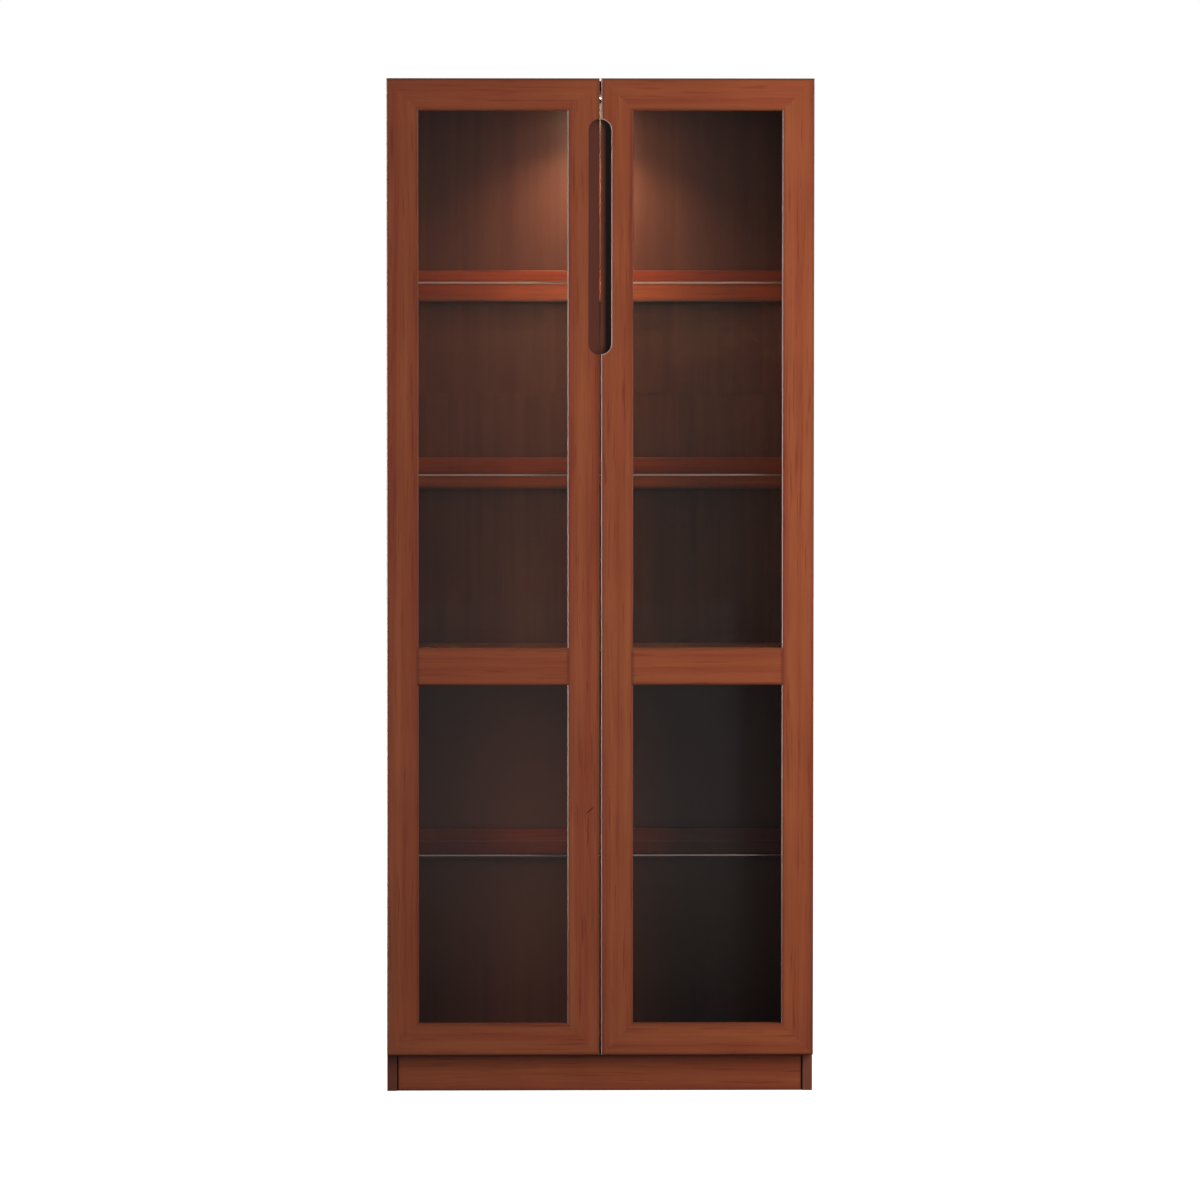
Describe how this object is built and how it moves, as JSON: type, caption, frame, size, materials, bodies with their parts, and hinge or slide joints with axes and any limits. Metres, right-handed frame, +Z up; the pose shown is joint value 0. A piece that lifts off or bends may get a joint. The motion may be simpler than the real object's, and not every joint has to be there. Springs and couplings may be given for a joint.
{
  "type": "bookcase with glass doors",
  "caption": "Tall wooden bookcase with two hinged glazed doors, glass and wooden shelves, a plinth and a lamp under the top.",
  "frame": {"origin": "middle of the footprint, on the floor", "axes": "+Z up, +Y from the doors to the back, +X to the right seen from the front"},
  "size_m": [0.8, 0.35, 1.9],
  "materials": {
    "back_sheet": "lacquered thin board, red-brown",
    "bead_wood": "satin lacquered cherry",
    "cam_zinc": "die-cast zinc",
    "carcass_wood": "satin lacquered red-brown cherry, fine straight grain",
    "clear_rubber": "soft clear bumper",
    "door_glass": "clear float glass",
    "door_wood": "satin lacquered red-brown cherry, fine straight grain",
    "dowel_wood": "plain beech",
    "lamp_lens": "frosted lens",
    "lamp_metal": "white satin paint",
    "light_board": "white light board",
    "nickel_steel": "nickel-plated pressed steel",
    "rail_wood": "satin lacquered cherry, a little more orange",
    "shelf_glass": "clear float glass with polished edges"
  },
  "bodies": {
    "carcass": {"back_panel_lower": "back_sheet", "back_panel_upper": "back_sheet", "back_rail_lower": "rail_wood", "back_rail_middle": "rail_wood", "back_rail_upper": "rail_wood", "bottom_panel": "carcass_wood", "cam_bolts": "cam_zinc", "cam_locks": "cam_zinc", "carcass_dowels": "dowel_wood", "fixed_shelf": "carcass_wood", "fixed_shelf_stiffener": "rail_wood", "glass_shelf_lower": "shelf_glass", "glass_shelf_middle": "shelf_glass", "glass_shelf_upper": "shelf_glass", "hinge_arm_screws": "nickel_steel", "hinge_arms_left": "nickel_steel", "hinge_arms_right": "nickel_steel", "hinge_plate_screws": "nickel_steel", "hinge_plates_left": "nickel_steel", "hinge_plates_right": "nickel_steel", "lamp_housing": "lamp_metal", "lamp_lens": "lamp_lens", "lamp_light_board": "light_board", "lamp_screws": "nickel_steel", "plinth_front": "carcass_wood", "plinth_rear": "carcass_wood", "shelf_supports": "nickel_steel", "side_panel_left": "carcass_wood", "side_panel_right": "carcass_wood", "top_panel": "carcass_wood"},
    "left_door": {"left_door_bottom_rail": "door_wood", "left_door_bumpers": "clear_rubber", "left_door_cup_screws": "nickel_steel", "left_door_dowels": "dowel_wood", "left_door_glazing_beads": "bead_wood", "left_door_hinge_cups": "nickel_steel", "left_door_inner_stile": "door_wood", "left_door_lower_glass": "door_glass", "left_door_mid_rail": "door_wood", "left_door_outer_stile": "door_wood", "left_door_top_rail": "door_wood", "left_door_upper_glass": "door_glass"},
    "right_door": {"right_door_bottom_rail": "door_wood", "right_door_bumpers": "clear_rubber", "right_door_cup_screws": "nickel_steel", "right_door_dowels": "dowel_wood", "right_door_glazing_beads": "bead_wood", "right_door_hinge_cups": "nickel_steel", "right_door_inner_stile": "door_wood", "right_door_lower_glass": "door_glass", "right_door_mid_rail": "door_wood", "right_door_outer_stile": "door_wood", "right_door_top_rail": "door_wood", "right_door_upper_glass": "door_glass"},
    "left_hinge_links": {"hinge_links_left": "nickel_steel"},
    "right_hinge_links": {"hinge_links_right": "nickel_steel"}
  },
  "joints": [
    {"name": "left_door_hinge", "type": "hinge", "parent": "carcass", "child": "left_door", "pos_m": [-0.394, -0.169, 0.985], "axis": [0, 0, -1], "range_deg": [0, 105]},
    {"name": "right_door_hinge", "type": "hinge", "parent": "carcass", "child": "right_door", "pos_m": [0.394, -0.169, 0.985], "axis": [0, 0, 1], "range_deg": [0, 105]},
    {"name": "left_link_pivot", "type": "hinge", "parent": "carcass", "child": "left_hinge_links", "pos_m": [-0.367, -0.16, 0.985], "axis": [0, 0, -1], "range_deg": [-63, 0]},
    {"name": "right_link_pivot", "type": "hinge", "parent": "carcass", "child": "right_hinge_links", "pos_m": [0.367, -0.16, 0.985], "axis": [0, 0, 1], "range_deg": [-63, 0]}
  ],
  "couplings": [
    {"joint": "left_link_pivot", "follows": "left_door_hinge", "ratio": -0.6},
    {"joint": "right_link_pivot", "follows": "right_door_hinge", "ratio": -0.6}
  ]
}
